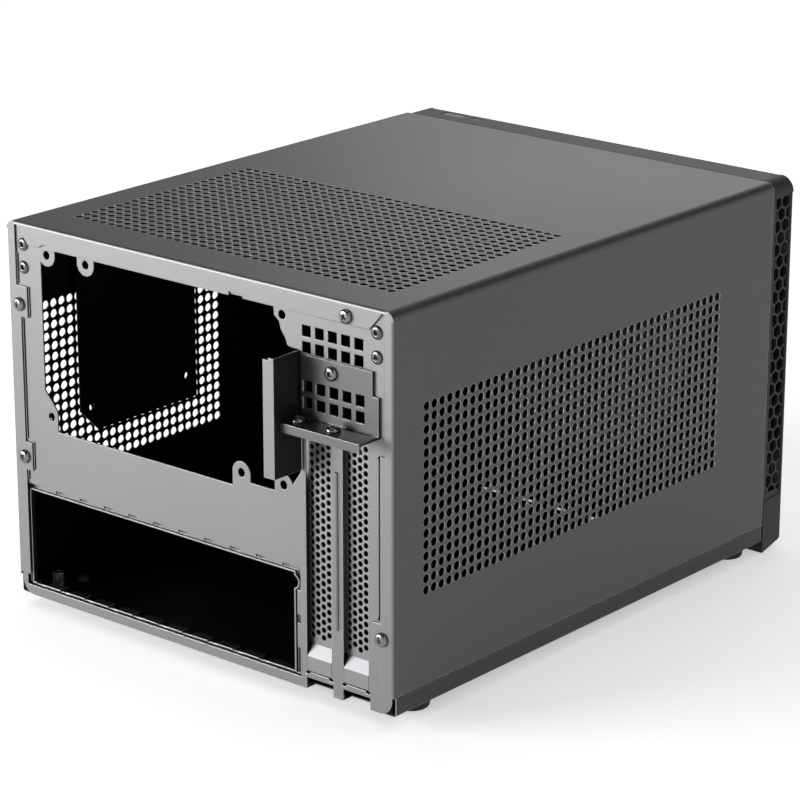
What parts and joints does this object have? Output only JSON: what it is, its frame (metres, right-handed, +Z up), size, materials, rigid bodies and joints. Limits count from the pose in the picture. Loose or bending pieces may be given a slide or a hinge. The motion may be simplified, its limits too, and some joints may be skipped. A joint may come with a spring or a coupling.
{
  "type": "mini itx pc case",
  "caption": "Small steel computer case with perforated cover, rear power supply opening, connector aperture, two expansion slots and a plastic front bezel with push buttons.",
  "frame": {"origin": "bottom centre of the whole part's box, on the floor under the feet", "axes": "+Z up, -Y towards the front bezel, +Y towards the rear panel, +X towards the case's right side as seen from the front"},
  "size_m": [0.222, 0.301, 0.181],
  "materials": {
    "coated_steel": "satin",
    "dark_steel": "satin",
    "plated_steel": "satin",
    "screw_steel": "satin",
    "bezel_plastic": "satin",
    "filter_plastic": "matte",
    "rubber": "matte",
    "board_green": "satin",
    "socket_shell": "satin",
    "socket_black": "satin",
    "lens_clear": "gloss"
  },
  "bodies": {
    "chassis": {"base_pan": "coated_steel", "rear_panel": "coated_steel", "front_frame": "coated_steel", "rail_left": "coated_steel", "rail_right": "coated_steel", "cross_brace": "coated_steel", "cover": "coated_steel", "rear_rivets": "coated_steel", "frame_rivets": "coated_steel", "drive_plate": "dark_steel", "slot_clamp": "dark_steel", "slot_cover_1": "plated_steel", "slot_cover_2": "plated_steel", "cover_screws": "screw_steel", "clamp_screws": "screw_steel", "brace_screws": "screw_steel", "standoffs": "screw_steel", "switch_screws": "screw_steel", "io_screws": "screw_steel", "bezel": "bezel_plastic", "face_plate": "bezel_plastic", "dust_filter": "filter_plastic", "feet": "rubber", "switch_board": "board_green", "io_board": "board_green", "usb_port_1": "socket_shell", "usb_port_2": "socket_shell", "audio_jack_1": "socket_black", "audio_jack_2": "socket_black", "power_led": "lens_clear", "drive_led": "lens_clear"},
    "power_button": {"power_button": "bezel_plastic"},
    "reset_button": {"reset_button": "bezel_plastic"}
  },
  "joints": [
    {"name": "power_press", "type": "slide", "parent": "chassis", "child": "power_button", "axis": [0, 0, -1], "range_m": [0, 0.0008], "stiffness_N_per_m": 1500, "springref_m": -0.0002},
    {"name": "reset_press", "type": "slide", "parent": "chassis", "child": "reset_button", "axis": [0, 0, -1], "range_m": [0, 0.0008], "stiffness_N_per_m": 1500, "springref_m": -0.0002}
  ]
}
